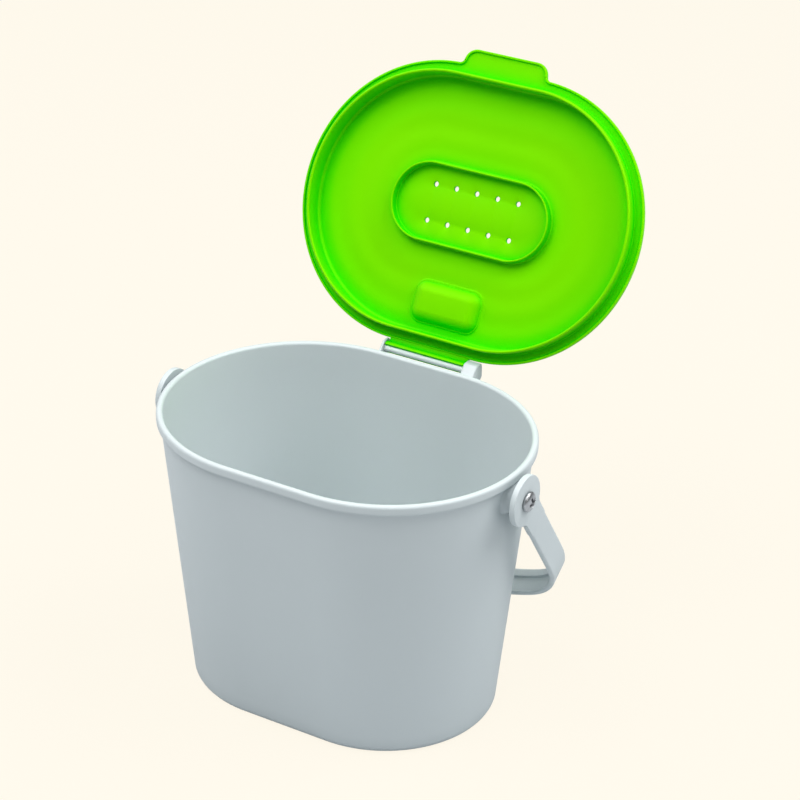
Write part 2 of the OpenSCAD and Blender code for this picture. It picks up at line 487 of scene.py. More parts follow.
@dataclass
class Bucket:
    """The grey bucket with its rim, hinge ears and pivot bosses."""

    length: float = 226.0
    depth: float = 170.0
    height: float = 174.0
    base_depth: float = 132.0
    wall: float = 2.2
    rim_over: float = 1.8
    rim_height: float = 5.0
    rim_round: float = 1.9
    base_edge: float = 4.0
    floor: float = 2.6
    cavity_edge: float = 5.0
    hinge_y: float = 91.2
    hinge_z: float = 173.0
    hinge_left: float = -30.1
    hinge_right: float = 34.9
    ear_radius: float = 5.0
    ear_round: float = 2.5
    ear_thin: float = 1.4
    ear_thick: float = 9.0
    pivot_y: float = -4.0
    pivot_z: float = 159.0
    boss_radius: float = 9.0
    boss_end: float = 116.2
    spigot_radius: float = 4.5
    spigot_end: float = 120.4
    outline: Oblong = field(default_factory=lambda: Oblong(80, 24))

    @property
    def half(self) -> float:
        """Half the length of the straight sides."""
        return (self.length - self.depth) / 2

    @property
    def rim_radius(self) -> float:
        """Radius of the rim's outside."""
        return self.depth / 2

    def outside(self, z: float) -> float:
        """Radius of the outside wall at a height."""
        base = self.base_depth / 2
        return base + (self.rim_radius - self.rim_over - base) * z / self.height

    def profile(self) -> Profile:
        """The wall's section from the middle of the base, over the rim, to the floor."""
        base = self.base_depth / 2
        rim = self.rim_radius
        top = self.height
        edge = self.base_edge
        under = top - self.rim_height
        mouth = rim - self.rim_over - self.wall
        points = [(base - 16, 0.0), (base - edge - 0.6, 0.0)]
        points += arc((base - edge + 0.4, edge), edge, -90, 0, 8)
        points += [(self.outside(z), z) for z in run(edge + 1.5, under - 3.6, 24)]
        points += arc((self.outside(under) + 1.5, under - 2.4), 1.5, 180, 110, 4)
        points += arc((rim - 1.2, under + 0.2), 1.2, -62, 0, 4)
        points += [(rim, under + 1.5)]
        points += arc((rim - self.rim_round, top - self.rim_round), self.rim_round, 0, 90, 7)
        points += arc((mouth + self.rim_round, top - self.rim_round), self.rim_round, 90, 180, 7)
        floor_r = self.outside(self.floor) - self.wall
        low = self.floor + self.cavity_edge
        slope = (mouth - floor_r) / (top - self.floor)
        points += [(floor_r + slope * (z - self.floor), z) for z in run(top - 6, low + 1.5, 22)]
        points += arc((floor_r - self.cavity_edge + 0.5, low), self.cavity_edge, 0, -90, 8)
        points += [(floor_r - 8, self.floor), (floor_r - 18, self.floor)]
        return points

    def shell(self) -> Mesh:
        """Pulls the wall's section round the oblong."""
        points = self.profile()
        radius, z = points[0]
        skin = Skin(self.outline.loop(self.half, radius, z))
        for radius, z in points[1:]:
            skin.pull(self.outline.loop(self.half, radius, z))
        skin.cap()
        skin.cap(skin.first)
        return skin.bm

    def ear(self, start: float, stop: float, soft: float) -> Mesh:
        """Cuts one hinge ear, rounded over the pin and sloping down to the wall.

        Args:
            start: Its left face along X.
            stop: Its right face along X.
            soft: Width of its edge rounding.

        Returns:
            The ear's mesh.
        """
        y, z, r = self.hinge_y, self.hinge_z, self.ear_radius
        foot = z - r - 12
        turn = self.ear_round
        points = [(self.outside(foot) - 1.1, foot)]
        points += [(self.rim_radius - 2.2, self.height - 3)]
        points += [(self.rim_radius - 1.2, self.height - 0.7)]
        points += [(self.rim_radius + 0.4, self.height - 0.4)]
        points += arc((y - 1.2, z + r - 1.0), 1.0, 130, 90, 3)
        points += arc((y + r - turn, z + r - turn), turn, 90, 0, 8)
        points += arc((y + r - 2.0, z - 3.2), 2.0, 0, -40, 4)
        return Cutout(points, start, stop).soften(soft).bm

    def shelf(self) -> Mesh:
        """Cuts the web that joins the two ears under the hinge pin."""
        top = self.hinge_z - 6.0
        foot = top - 10.8
        points = [(self.outside(top) - 1.1, top), (self.hinge_y + 1, top), (self.hinge_y + 1, top - 2.4),
                  (self.outside(foot) - 1.1, foot)]
        return Cutout(points, self.hinge_left + 1, self.hinge_right - 1).soften(0.4).bm

    def boss(self, side: int) -> Mesh:
        """Pulls a pivot boss out of the wall and the spigot out of the boss.

        Args:
            side: 1 for the right end of the bucket, -1 for the left.

        Returns:
            The boss's mesh.
        """
        steps = 72
        turns = [math.tau * i / steps for i in range(steps)]

        def on_wall(radius: float, lift: float) -> Loop:
            """A circle laid on the curved wall, lifted off it by a distance."""
            found = []
            for turn in turns:
                y = self.pivot_y + radius * math.cos(turn)
                z = self.pivot_z + radius * math.sin(turn)
                wall = self.half + math.sqrt(self.outside(z) ** 2 - y ** 2)
                found.append(Vector((side * (wall + lift), y, z)))
            return found

        def flat(radius: float, x: float) -> Loop:
            """A circle across the boss's axis."""
            return [Vector((side * x, self.pivot_y + radius * math.cos(turn),
                            self.pivot_z + radius * math.sin(turn))) for turn in turns]

        boss, spigot = self.boss_radius, self.spigot_radius
        skin = Skin(on_wall(boss + 2.6, -1.0))
        skin.pull(on_wall(boss + 2.0, -0.05))
        for share in (0.12, 0.3, 0.55, 0.8):
            angle = share * math.pi / 2
            skin.pull(on_wall(boss + 2.0 * (1 - math.sin(angle)), 2.0 * (1 - math.cos(angle))))
        for x in (112.4, 113.5, self.boss_end - 0.7):
            skin.pull(flat(boss, x))
        for share in (0.35, 0.7, 1.0):
            angle = share * math.pi / 2
            skin.pull(flat(boss - 0.6 * (1 - math.cos(angle)), self.boss_end - 0.6 * (1 - math.sin(angle))))
        for radius, x in ((boss - 1.4, 0.0), (spigot + 0.6, 0.0), (spigot + 0.1, 0.1), (spigot, 0.6)):
            skin.pull(flat(radius, self.boss_end + x))
        for radius, x in ((spigot, -0.5), (spigot - 0.3, -0.05), (spigot - 0.9, 0.0)):
            skin.pull(flat(radius, self.spigot_end + x))
        skin.cap()
        skin.cap(skin.first)
        return skin.bm

    def build(self, material: Material) -> None:
        """Builds and dresses the bucket's pieces."""
        pieces = {
            "bucket_shell": self.shell(),
            "hinge_ear": self.ear(self.hinge_left, self.hinge_left + self.ear_thin, 0.5),
            "hinge_lug": self.ear(self.hinge_right - self.ear_thick, self.hinge_right, 1.9),
            "hinge_web": self.shelf(),
            "pivot_boss_right": self.boss(1),
            "pivot_boss_left": self.boss(-1),
        }
        for name, bm in pieces.items():
            settle(name, bm, Body.BUCKET, Node.BUCKET, Slot.BUCKET, material)


@dataclass
class HingePin:
    """The round grey bar that the lid's hook turns on."""

    y: float = 91.2
    z: float = 173.0
    left: float = -30.1
    right: float = 32.7
    radius: float = 2.2

    def build(self, material: Material) -> None:
        """Turns and dresses the pin."""
        edge = 0.4
        ends = arc((self.left + edge, self.radius - edge), edge, 180, 90, 4)
        profile = [(self.left, 0.0), (self.left, self.radius - edge - 0.4), *ends]
        profile += [(x, self.radius) for x in run(self.left + 2, self.right - 2, 6)]
        profile += arc((self.right - edge, self.radius - edge), edge, 90, 0, 4)
        profile += [(self.right, self.radius - edge - 0.4), (self.right, 0.0)]
        bm = Lathe(profile, 48).bm
        bmesh.ops.translate(bm, vec=(0, self.y, self.z), verts=bm.verts)
        settle("hinge_pin_bar", bm, Body.BUCKET, Node.HINGE_PIN, Slot.BUCKET, material)


@dataclass
class Lid:
    """The green lid: flange, finger tab, plug ring, filter frame, vents, pocket and hook."""

    half: float = 28.0
    radius: float = 85.0
    opened: float = 118.0
    under: float = 174.5
    flange: float = 2.7
    flange_skin: float = 1.5
    lip: float = 1.4
    rise: float = 8.2
    plate: float = 2.0
    ring_radius: float = 78.8
    ring_wall: float = 1.8
    ring_drop: float = 6.5
    tab_width: float = 56.0
    tab_out: float = 9.5
    tab_round: float = 8.0
    tab_fillet: float = 2.6
    tab_reach: float = 33.0
    frame_half: float = 28.6
    frame_radius: float = 24.15
    frame_wall: float = 1.2
    frame_height: float = 5.8
    vent_pitch: float = 14.0
    vent_rows: float = 22.3
    vent_radius: float = 1.6
    pocket_half_x: float = 15.0
    pocket_half_y: float = 5.0
    pocket_y: float = 58.5
    pocket_round: float = 8.0
    pocket_drop: float = 5.5
    pocket_wall: float = 1.8
    ripple: float = 0.13
    ripple_pitch: float = 15.5
    hinge_y: float = 91.2
    hinge_z: float = 173.0
    hook_left: float = -28.3
    hook_right: float = 25.5
    hook_radius: float = 4.2
    hook_bore: float = 2.25
    hook_low: float = 239.5
    hook_high: float = 46.0
    outline: Oblong = field(default_factory=lambda: Oblong(96, 72))

    @property
    def plate_in(self) -> float:
        """Height of the panel's inner face, lid shut."""
        return self.under + self.rise - self.plate

    @property
    def plate_out(self) -> float:
        """Height of the panel's outer face, lid shut."""
        return self.under + self.rise

    def wave(self, radius: float) -> float:
        """Height of the faint ripples pressed into the panel, at a distance from its middle line."""
        fade = min(1.0, max(0.0, (radius - 27.0) / 6.0)) * min(1.0, max(0.0, (74.0 - radius) / 6.0))
        return self.ripple * fade * math.sin(math.tau * (radius - 27.0) / self.ripple_pitch)

    def tab_outline(self, inset: float) -> Profile:
        """The tab's edge at an inset, as distances along and out from the lid's front side.

        Args:
            inset: Distance inside the outer edge.

        Returns:
            Closely spaced points from left to right.
        """
        half = self.tab_width / 2 - 0.2 - inset
        corner = self.tab_round - inset
        fillet = self.tab_fillet + inset
        out = self.tab_out - inset
        side = [(x, -inset) for x in run(-self.tab_reach, -(half + fillet) - 0.4, 6)]
        side += arc((-(half + fillet), fillet - inset), fillet, -90, 0, 6)
        side += arc((-half + corner, out - corner), corner, 180, 90, 14)
        side += [(x, out) for x in run(-half + corner + 0.8, 0.0, 12)]
        return side + [(-x, y) for x, y in reversed(side[:-1])]

    def edge_loop(self, inset: float, z: float, tab: bool = True) -> Loop:
        """The lid's outline with its tab, at an inset from the outer edge and a height.

        Args:
            inset: Distance inside the outer edge.
            z: Height.
            tab: False to pass the tab by, with the loop's spots still in line with the tab's edge.

        Returns:
            The loop.
        """
        points = self.outline.loop(self.half, self.radius - inset, z)
        rim = self.outline.loop(self.half, self.radius, z)
        near = [i for i, spot in enumerate(rim) if spot.y < 0 and abs(spot.x) <= self.tab_reach]
        near.sort(key=lambda i: rim[i].x)
        shape, marks = self.tab_outline(inset), self.tab_outline(0.0)
        lengths = [0.0]
        for first, second in zip(marks, marks[1:]):
            lengths.append(lengths[-1] + math.dist(first, second))
        for rank, index in enumerate(near):
            goal = lengths[-1] * rank / (len(near) - 1)
            step = max(1, next(i for i, length in enumerate(lengths) if length >= goal - 1e-9))
            share = (goal - lengths[step - 1]) / (lengths[step] - lengths[step - 1])
            x = shape[step - 1][0] + share * (shape[step][0] - shape[step - 1][0])
            out = shape[step - 1][1] + share * (shape[step][1] - shape[step - 1][1])
            if not tab:
                x, out = 0.93 * x + 0.07 * points[index].x, -inset
            sag = self.radius - math.sqrt(self.radius ** 2 - max(0.0, abs(x) - self.half) ** 2)
            points[index] = Vector((x, -(self.radius + out) + sag, z))
        return points

    def inner_loops(self) -> list[Loop]:
        """Loops of the inner face, from inside the filter frame out to the edge lip."""
        top = self.plate_in
        out_r = self.frame_radius
        in_r = out_r - self.frame_wall
        bead = self.frame_wall / 2
        low = top - self.frame_height + bead
        stations = [(self.frame_half, in_r - 1.6, top), (self.frame_half, in_r - 0.7, top)]
        stations += [(self.frame_half, r, z) for r, z in arc((in_r - 0.6, top - 0.6), 0.6, 90, 0, 4)]
        stations += [(self.frame_half, in_r, z) for z in run(top - 1.2, low + 0.3, 3)]
        stations += [(self.frame_half, r, z) for r, z in arc((in_r + bead, low), bead, 180, 360, 8)]
        stations += [(self.frame_half, out_r, z) for z in run(low + 0.4, top - 1.4, 3)]
        stations += [(self.frame_half, r, z) for r, z in arc((out_r + 1.0, top - 1.0), 1.0, 180, 90, 5)]
        span = (out_r + 1.6, 75.0)
        for r in [span[0], *range(27, 75), 74.5]:
            share = (r - span[0]) / (span[1] - span[0])
            stations.append((self.frame_half + share * (self.half - self.frame_half), r, top + self.wave(r)))
        wall = self.ring_radius - self.ring_wall
        bead = self.ring_wall / 2
        low = self.under - self.ring_drop + bead
        stations += [(self.half, r, z) for r, z in arc((wall - 1.8, top - 1.8), 1.8, 85, 0, 6)]
        stations += [(self.half, wall, z) for z in run(top - 3, low + 0.5, 4)]
        stations += [(self.half, r, z) for r, z in arc((wall + bead, low), bead, 180, 360, 10)]
        ceiling = self.under + self.flange - self.flange_skin
        stations += [(self.half, self.ring_radius, z) for z in run(low + 0.5, ceiling - 1.0, 3)]
        stations += [(self.half, r, z)
                     for r, z in arc((self.ring_radius + 0.6, ceiling - 0.6), 0.6, 180, 90, 4)]
        stations += [(self.half, self.ring_radius + 1.2, ceiling)]
        loops = [self.outline.loop(*station) for station in stations]
        loops += [self.edge_loop(self.lip + 1.0, ceiling, False)]
        loops += [self.edge_loop(self.lip + 0.5, ceiling)]
        inside = self.lip + 0.35
        loops += [self.edge_loop(inside - r, z) for r, z in arc((0.0, ceiling - 0.35), 0.35, 90, 0, 3)]
        foot = self.under
        loops += [self.edge_loop(self.lip, foot + 0.5)]
        loops += [self.edge_loop(self.lip - 0.35 - r, z)
                  for r, z in arc((0.0, foot + 0.35), 0.35, 180, 270, 3)]
        return loops

    def outer_loops(self) -> list[Loop]:
        """Loops of the outer face, from the edge lip in to the middle of the panel."""
        foot = self.under
        top = self.under + self.flange
        loops = [self.edge_loop(0.35 - r, z) for r, z in arc((0.0, foot + 0.35), 0.35, 270, 360, 3)]
        loops += [self.edge_loop(0.0, foot + 1.0), self.edge_loop(0.0, top - 1.1)]
        loops += [self.edge_loop(0.8 - r, z) for r, z in arc((0.0, top - 0.8), 0.8, 0, 90, 5)]
        loops += [self.edge_loop(1.3, top)]
        loops += [self.edge_loop(2.4, top, False)]
        ring = self.ring_radius
        stations = [(ring + 1.5, top), *arc((ring + 1.0, top + 1.0), 1.0, 270, 180, 4)]
        stations += [(ring, z) for z in run(top + 1.4, self.plate_out - 2.4, 2)]
        stations += arc((ring - 2.0, self.plate_out - 2.0), 2.0, 0, 90, 7)
        stations += [(r, self.plate_out) for r in (76.0, 74.5)]
        stations += [(r, self.plate_out) for r in run(73.0, 43.0, 30)]
        stations += [(r, self.plate_out) for r in (42.0, 36.0, 30.0, 24.0)]
        return loops + [self.outline.loop(self.half, r, z) for r, z in stations]

    def dent(self, skin: Skin, at: float, profile: Profile, waves: bool) -> None:
        """Replaces a patch of the panel with a rounded dent or bump.

        Args:
            skin: The lid's surface.
            at: Height of the face that it is pressed into.
            profile: Distances from the dent's core rectangle, with heights.
            waves: True where the face round it is rippled.
        """
        box_x, low_y, high_y = 25.2, 42.5, 74.4

        def inside(face: Face) -> bool:
            """True for a face of the patch that is cut away."""
            mid = face.calc_center_median()
            return abs(mid.x) < box_x and low_y < mid.y < high_y and abs(mid.z - at) < 0.6

        gone = [face for face in skin.bm.faces if inside(face)]
        around = {edge for face in gone for edge in face.edges}
        bmesh.ops.delete(skin.bm, geom=gone, context="FACES")
        rim = [edge for edge in around if edge.is_valid and len(edge.link_faces) == 1]

        def core(point: Vector) -> Vector:
            """Nearest spot of the core rectangle."""
            x = min(self.pocket_half_x, max(-self.pocket_half_x, point.x))
            y = min(self.pocket_half_y, max(-self.pocket_half_y, point.y - self.pocket_y))
            return Vector((x, y + self.pocket_y, 0.0))

        def spot(vert: Vert) -> Vector:
            """Place of a vertex at the profile's reach and height."""
            middle = core(vert.co)
            out = (Vector((vert.co.x, vert.co.y, 0.0)) - middle).normalized()
            place = middle + out * reach
            lift = self.wave(place.y) * min(1.0, max(0.0, (reach - 8.2) / 2.0)) if waves else 0.0
            return Vector((place.x, place.y, z + lift))

        for reach, z in profile:
            rim = grow(skin.bm, rim, spot)
        skin.cap(rim)

    def bump_profile(self) -> Profile:
        """Section of the pocket's bump on the inner face, from the panel to its top."""
        top = self.plate_in
        sphere = top - self.pocket_drop + self.pocket_round
        points = [(10.2, top), (9.6, top)]
        points += arc((9.1, top - 1.3), 1.3, 90, 155, 5)
        points += dome(self.pocket_round, sphere, range(66, 0, -6))
        return points + [(0.25, top - self.pocket_drop)]

    def pocket_profile(self) -> Profile:
        """Section of the pocket on the outer face, from the panel to its floor."""
        top = self.plate_out
        radius = self.pocket_round - self.pocket_wall
        sphere = self.plate_in - self.pocket_drop + self.pocket_round
        points = [(8.2, top), (7.4, top)]
        points += arc((7.1, top - 0.9), 0.9, 90, 172, 5)
        points += dome(radius, sphere, range(74, 2, -8))
        return points + [(0.25, sphere - radius)]

    def vents(self, skin: Skin, inner: list[Edge], outer: list[Edge]) -> None:
        """Fills the middle of both faces round ten open vent holes.

        Args:
            skin: The lid's surface.
            inner: The inner face's last loop.
            outer: The outer face's last loop.
        """
        inner_edges, outer_edges = list(inner), list(outer)
        edge = 0.2
        levels = [(self.vent_radius + edge, self.plate_in), (self.vent_radius + 0.06, self.plate_in + 0.06),
                  (self.vent_radius, self.plate_in + edge), (self.vent_radius, self.plate_out - edge),
                  (self.vent_radius + 0.06, self.plate_out - 0.06), (self.vent_radius + edge, self.plate_out)]

        def spot(vert: Vert) -> Vector:
            """Place of a vertex at the hole's radius and height."""
            out = Vector((vert.co.x - x, vert.co.y - y, 0.0)).normalized()
            return Vector((x, y, z)) + out * radius

        for number in range(10):
            x = (number % 5 - 2) * self.vent_pitch
            y = (number // 5 - 0.5) * self.vent_rows
            place = Matrix.Translation((x, y, levels[0][1]))
            made = bmesh.ops.create_circle(skin.bm, cap_ends=False, segments=28, radius=levels[0][0],
                                           matrix=place)
            rim = list({e for vert in made["verts"] for e in vert.link_edges})
            inner_edges += rim
            for radius, z in levels[1:]:
                rim = grow(skin.bm, rim, spot)
            outer_edges += rim
        skin.panel(inner_edges)
        skin.panel(outer_edges)

    def panel(self) -> Mesh:
        """Pulls the lid's whole moulding in one closed skin, lid shut."""
        loops = self.inner_loops() + self.outer_loops()
        skin = Skin(loops[0])
        for points in loops[1:]:
            skin.pull(points)
        self.vents(skin, skin.first, skin.rim)
        self.dent(skin, self.plate_in, self.bump_profile(), True)
        self.dent(skin, self.plate_out, self.pocket_profile(), False)
        return skin.bm

    def hook(self) -> Mesh:
        """Cuts the clip that snaps on the hinge pin from above, lid shut."""
        y, z = self.hinge_y, self.hinge_z
        outer, low = self.hook_radius, self.hook_low
        leaf = 180.0 - math.degrees(math.asin((self.under - z) / outer))
        points = [(self.radius - 0.9, self.under + self.flange)]
        points += arc((y, z), outer, 90, self.hook_high, 6)
        points += arc((y, z), self.hook_bore, self.hook_high, low, 30)
        points += arc((y, z), outer, low, leaf, 8)
        points += [(self.radius - 0.9, self.under)]
        return Cutout(points, self.hook_left, self.hook_right).soften(0.35, 60.0, 2).bm

    def swing(self, bm: Mesh) -> Mesh:
        """Turns a shut piece about the hinge to where the lid stands open."""
        turn = Matrix.Rotation(math.radians(-self.opened), 3, "X")
        bmesh.ops.rotate(bm, cent=(0, self.hinge_y, self.hinge_z), matrix=turn, verts=bm.verts)
        return bm

    def build(self, material: Material) -> None:
        """Builds and dresses the lid's pieces."""
        for name, bm in {"lid_panel": self.panel(), "lid_hook": self.hook()}.items():
            settle(name, self.swing(bm), Body.LID, Node.LID, Slot.LID, material)


@dataclass
class Bail:
    """The grey bail handle: an eye and arm at each end, two bends and a channelled grip."""

    width: float = 240.0
    strap_width: float = 17.0
    strap: float = 3.4
    eye_radius: float = 15.0
    arm: float = 69.0
    bend_radius: float = 62.0
    slope: float = 34.0
    rest: float = 35.0
    pivot_y: float = -4.0
    pivot_z: float = 159.0
    skin: float = 1.8
    rim_back: float = 5.27
    rim_front: float = 1.87
    edge: float = 1.35
    channel_start: float = 14.0
    neck: float = 26.0
    seam: float = 2.0

    def section(self, depth: float) -> Profile:
        """The strap's outline as distances inward and across.

        Args:
            depth: Depth of the channel, from 0 for none to 1 for all of it.

        Returns:
            Pairs of depth below the outer face and place across the width.
        """
        w, t, e = self.strap_width / 2, self.strap, self.edge
        floor = t - (t - self.skin) * depth
        lip = 0.45 * depth + 0.01
        back, front = -w + self.rim_back, w - self.rim_front
        points = [(0.0, c) for c in run(-w + e + 0.4, w - e - 0.4, 8)]
        points += arc((e, w - e), e, 180, 90, 5)
        points += arc((t - e, w - e), e, 90, 0, 5)
        points += [(t, front + lip + 0.05)]
        points += arc((t - lip, front + lip), lip, 0, -90, 3)
        points += arc((floor + lip, front - lip), lip, 90, 180, 3)
        points += [(floor, c) for c in run(front - lip - 0.3, back + lip + 0.3, 6)]
        points += arc((floor + lip, back + lip), lip, 180, 270, 3)
        points += arc((t - lip, back - lip), lip, 90, 0, 3)
        points += [(t, back - lip - 0.3), (t, -w + e + 0.6)]
        points += arc((t - e, -w + e), e, 0, -90, 5)
        points += arc((e, -w + e), e, -90, -180, 5)
        return points

    def stops(self) -> list[tuple[Vector, Vector, float]]:
        """Stops along the strap: a spot on the outer face, its outward direction and the channel's depth."""
        out_x = self.width / 2
        centre = Vector((out_x - self.bend_radius, -self.arm, 0.0))
        found = [(Vector((out_x, y, 0.0)), Vector((1, 0, 0)), 0.0)
                 for y in run(-self.neck - self.seam, -self.arm + 1.5, 8)]
        sweep = 90 - self.slope
        for angle in [0.0, 4.0, 8.0, 12.0, *run(self.channel_start, sweep, 18)]:
            turn = math.radians(angle)
            out = Vector((math.cos(turn), -math.sin(turn), 0.0))
            share = min(1.0, max(0.0, (angle - self.channel_start + 2.0) / 4.0))
            depth = share * share * (3 - 2 * share)
            found.append((centre + out * self.bend_radius, out, depth))
        slope = math.radians(self.slope)
        tip = centre.x + self.bend_radius * math.sin(slope)
        grip = tip / math.sin(slope)
        grip_y = -self.arm - self.bend_radius * math.cos(slope) + grip * math.cos(slope)
        for angle in run(self.slope, 0.0, 20)[1:]:
            turn = math.radians(angle)
            out = Vector((math.sin(turn), -math.cos(turn), 0.0))
            found.append((Vector((0.0, grip_y, 0.0)) + out * grip, out, 1.0))
        mirrored = [(Vector((-spot.x, spot.y, 0)), Vector((-out.x, out.y, 0)), depth)
                    for spot, out, depth in reversed(found[:-1])]
        return found + mirrored

    def strip(self) -> Skin:
        """Pulls the strap's section from one neck to the other."""
        skin = None
        for spot, out, depth in self.stops():
            points = [spot - out * inward + Vector((0, 0, across)) for inward, across in self.section(depth)]
            if skin is None:
                skin = Skin(points)
            else:
                skin.pull(points)
        return skin

    def eye(self, side: int) -> Mesh:
        """Cuts the eye with the top of its arm, and rounds its edges.

        Args:
            side: 1 for the right end of the bail, -1 for the left.

        Returns:
            The eye's mesh, open where the arm goes on.
        """
        w, r = self.strap_width / 2, self.eye_radius
        fillet = 7.0
        centre_z = w + fillet
        drop = math.sqrt((r + fillet) ** 2 - centre_z ** 2)
        lean = math.degrees(math.atan2(centre_z, -drop))
        points = [(-self.neck, w)]
        points += arc((-drop, centre_z), fillet, -90, lean - 180, 8)
        points += arc((0.0, 0.0), r, lean, -lean, 56)
        points += arc((-drop, -centre_z), fillet, 180 - lean, 90, 8)
        points += [(-self.neck, -w)]
        out_x = self.width / 2

        def at_end(item: Edge | Face) -> bool:
            """True for an edge or face of the flat end where the arm goes on."""
            return all(abs(vert.co.y + self.neck) < 0.01 for vert in item.verts)

        bm = Cutout(points, side * out_x, side * (out_x - self.strap)).bm
        edges = [e for e in bm.edges if not at_end(e) and e.calc_face_angle(0.0) > math.radians(40.0)]
        bmesh.ops.bevel(bm, geom=edges, offset=self.edge, segments=5, profile=0.5,
                        affect="EDGES", material=-1, clamp_overlap=True)
        bmesh.ops.delete(bm, geom=[face for face in bm.faces if at_end(face)], context="FACES")
        return bm

    def build(self, material: Material) -> None:
        """Builds and dresses the bail as one piece."""
        bm = self.strip().bm
        mesh = bpy.data.meshes.new("eyes")
        for side in (1, -1):
            eye = self.eye(side)
            eye.to_mesh(mesh)
            eye.free()
            bm.from_mesh(mesh)
            open_edges = [e for e in bm.edges if e.is_boundary and e.verts[0].co.x * side > 0]
            bmesh.ops.bridge_loops(bm, edges=open_edges)
        bpy.data.meshes.remove(mesh)
        turn = Matrix.Rotation(math.radians(self.rest + 90), 3, "X")
        bmesh.ops.rotate(bm, cent=(0, 0, 0), matrix=turn, verts=bm.verts)
        bmesh.ops.translate(bm, vec=(0, self.pivot_y, self.pivot_z), verts=bm.verts)
        settle("bail_strap", bm, Body.BAIL, Node.BAIL, Slot.BUCKET, material)


@dataclass
class PivotScrew:
    """A domed cross-head screw that holds the bail on its spigot."""

    side: int
    seat: float = 120.4
    head_radius: float = 5.9
    head_height: float = 3.2
    head_edge: float = 0.8
    recess_width: float = 2.1
    recess_length: float = 8.6
    recess_depth: float = 2.6
    recess_taper: Pair = (0.55, 0.7)
    recess_turn: float = 0.3
    pivot_y: float = -4.0
    pivot_z: float = 159.0

    def build(self, material: Material) -> None:
        """Turns the head, presses the cross into it and dresses it."""
        profile = [(0.0, 0.0), (0.0, self.head_radius - 0.7)]
        profile += arc((0.3, self.head_radius - 0.3), 0.3, 180, 90, 3)
        rise = self.head_height - self.head_edge
        for a in run(0.0, 90.0, 14):
            turn = math.radians(a)
            profile.append((self.head_edge + rise * math.sin(turn), self.head_radius * math.cos(turn)))
        profile[-1] = (self.head_height, 0.0)
        head = Lathe(profile, 64).bm
        cutter = bmesh.new()
        for turned in (0.0, math.pi / 2):
            made = bmesh.ops.create_cube(cutter, size=1.0)["verts"]
            size = (self.recess_depth * 2, self.recess_length, self.recess_width)
            bmesh.ops.scale(cutter, vec=size, verts=made)
            for vert in made:
                if vert.co.x < 0:
                    vert.co.y *= self.recess_taper[0]
                    vert.co.z *= self.recess_taper[1]
            turn = Matrix.Rotation(turned + self.recess_turn, 3, "X")
            bmesh.ops.rotate(cutter, cent=(0, 0, 0), matrix=turn, verts=made)
        bmesh.ops.translate(cutter, vec=(self.head_height, 0, 0), verts=cutter.verts)
        head = carve(head, cutter)
        bmesh.ops.scale(head, vec=(self.side, 1, 1), verts=head.verts)
        place = (self.side * self.seat, self.pivot_y, self.pivot_z)
        bmesh.ops.translate(head, vec=place, verts=head.verts)
        name = "pivot_screw_right" if self.side > 0 else "pivot_screw_left"
        settle(name, head, Body.BUCKET, Node.SCREWS, Slot.SCREW, material, 30.0)


def carve(solid: Mesh, cutter: Mesh) -> Mesh:
    """Cuts one closed mesh out of another.

    Args:
        solid: The mesh that is cut.
        cutter: The mesh that cuts it, of one or more closed shells.

    Returns:
        The cut mesh.
    """
    objects = []
    for name, bm in (("carved", solid), ("cutter", cutter)):
        bmesh.ops.recalc_face_normals(bm, faces=bm.faces)
        objects.append(show(name, bm))
    cut = objects[0].modifiers.new("cut", "BOOLEAN")
    cut.operation = "DIFFERENCE"
    cut.solver = "EXACT"
    cut.use_self = True
    cut.object = objects[1]
    shown = objects[0].evaluated_get(bpy.context.evaluated_depsgraph_get())
    done = bmesh.new()
    done.from_mesh(shown.to_mesh())
    shown.to_mesh_clear()
    for item in objects:
        mesh = item.data
        bpy.data.objects.remove(item)
        bpy.data.meshes.remove(mesh)
    return done


# The studio


@dataclass(frozen=True)
class View:
    """The camera, set up from a turn round the caddy, a height angle and a roll."""

    azimuth: float = 0.5314314778
    elevation: float = 0.4865893876
    roll: float = 0.0178674890
    distance: float = 1.4407874515
    target: Point = (0.0353589711, 0.0, 0.1960190954)
    lens: float = 116.1358555

    def axes(self) -> tuple[Vector, Vector, Vector]:
        """The camera's right, up and backward directions."""
        az, el = self.azimuth, self.elevation
        back = Vector((math.sin(az) * math.cos(el), -math.cos(az) * math.cos(el), math.sin(el)))
        level = Vector((math.cos(az), math.sin(az), 0.0))
        rise = back.cross(level)
        right = math.cos(self.roll) * level + math.sin(self.roll) * rise
        up = -math.sin(self.roll) * level + math.cos(self.roll) * rise
        return right, up, back

    def build(self) -> None:
        """Makes the camera and gives it to the scene."""
        right, up, back = self.axes()
        data = bpy.data.cameras.new("studio_camera")
        data.sensor_width = 36.0
        data.lens = self.lens
        data.clip_start = 0.05
        data.clip_end = 50.0
        camera = bpy.data.objects.new("studio_camera", data)
        place = Vector(self.target) + back * self.distance
        turn = Matrix((right, up, back)).transposed().to_4x4()
        camera.matrix_world = Matrix.Translation(place) @ turn
        bpy.context.scene.collection.objects.link(camera)
        bpy.context.scene.camera = camera


@dataclass(frozen=True)
class Lamp:
    """A square soft lamp that faces the caddy."""

    name: str
    direction: Point
    distance: float
    size: float
    power: float
    colour: Colour = (1.0, 1.0, 1.0)
    aim: Point = (0.0, 0.0, 0.15)

    def build(self) -> None:
        """Hangs the lamp."""
        data = bpy.data.lights.new(self.name, "AREA")
        data.shape = "SQUARE"
        data.size = self.size
        data.energy = self.power
        data.color = self.colour
        lamp = bpy.data.objects.new(self.name, data)
        out = Vector(self.direction).normalized()
        lamp.location = Vector(self.aim) + out * self.distance
        lamp.rotation_mode = "QUATERNION"
        lamp.rotation_quaternion = out.to_track_quat("Z", "Y")
        bpy.context.scene.collection.objects.link(lamp)


